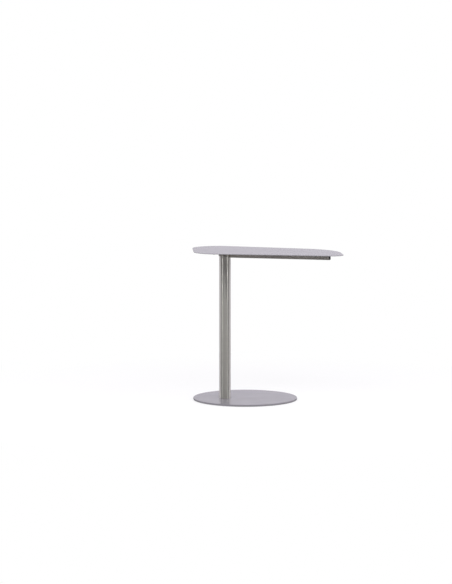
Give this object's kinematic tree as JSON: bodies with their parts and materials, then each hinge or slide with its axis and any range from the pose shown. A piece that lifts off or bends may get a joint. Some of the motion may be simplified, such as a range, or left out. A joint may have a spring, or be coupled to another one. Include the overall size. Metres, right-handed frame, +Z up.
{
  "type": "side table",
  "caption": "Side table with an off-centre round column on a disc base and a thin soft-cornered top that swivels on a slim arm.",
  "frame": {"origin": "centre of the round base on the floor, at the underside of the underlay", "axes": "+Z up, +X from the column towards the centre of the base, +Y to the left of that"},
  "size_m": [0.4655, 0.476, 0.5048],
  "materials": {
    "underlay_felt": "dark non-woven felt",
    "base_lacquer": "grey lacquer under clear coat",
    "top_lacquer": "grey lacquer under clear coat",
    "column_stainless": "satin brushed stainless, grain round the tube",
    "head_stainless": "turned stainless",
    "arm_stainless": "satin brushed stainless, grain along the arm",
    "plug_plastic": "black moulded plastic",
    "bearing_plastic": "natural acetal",
    "machined_steel": "bright machined steel",
    "fastener_steel": "zinc-plated steel",
    "spring_steel": "phosphated spring steel"
  },
  "bodies": {
    "base": {"base_underlay": "underlay_felt", "base_plate": "base_lacquer", "base_bolt": "fastener_steel", "column_foot": "machined_steel", "foot_dowels": "machined_steel", "column_tube": "column_stainless", "lower_bush": "bearing_plastic", "upper_bush": "bearing_plastic", "thrust_washer": "bearing_plastic"},
    "top": {"swivel_hub": "head_stainless", "pivot_spindle": "machined_steel", "spindle_washer": "fastener_steel", "disc_springs": "spring_steel", "spindle_locknut": "fastener_steel", "head_flange": "arm_stainless", "arm_tube": "arm_stainless", "arm_end_plug": "plug_plastic", "arm_lugs": "arm_stainless", "top_plate": "top_lacquer", "top_studs": "fastener_steel", "fixing_washers": "fastener_steel", "fixing_nuts": "fastener_steel"}
  },
  "joints": [
    {"name": "top_swivel", "type": "hinge", "parent": "base", "child": "top", "pos_m": [-0.071, 0, 0.487], "axis": [0, 0, 1], "continuous": true}
  ]
}
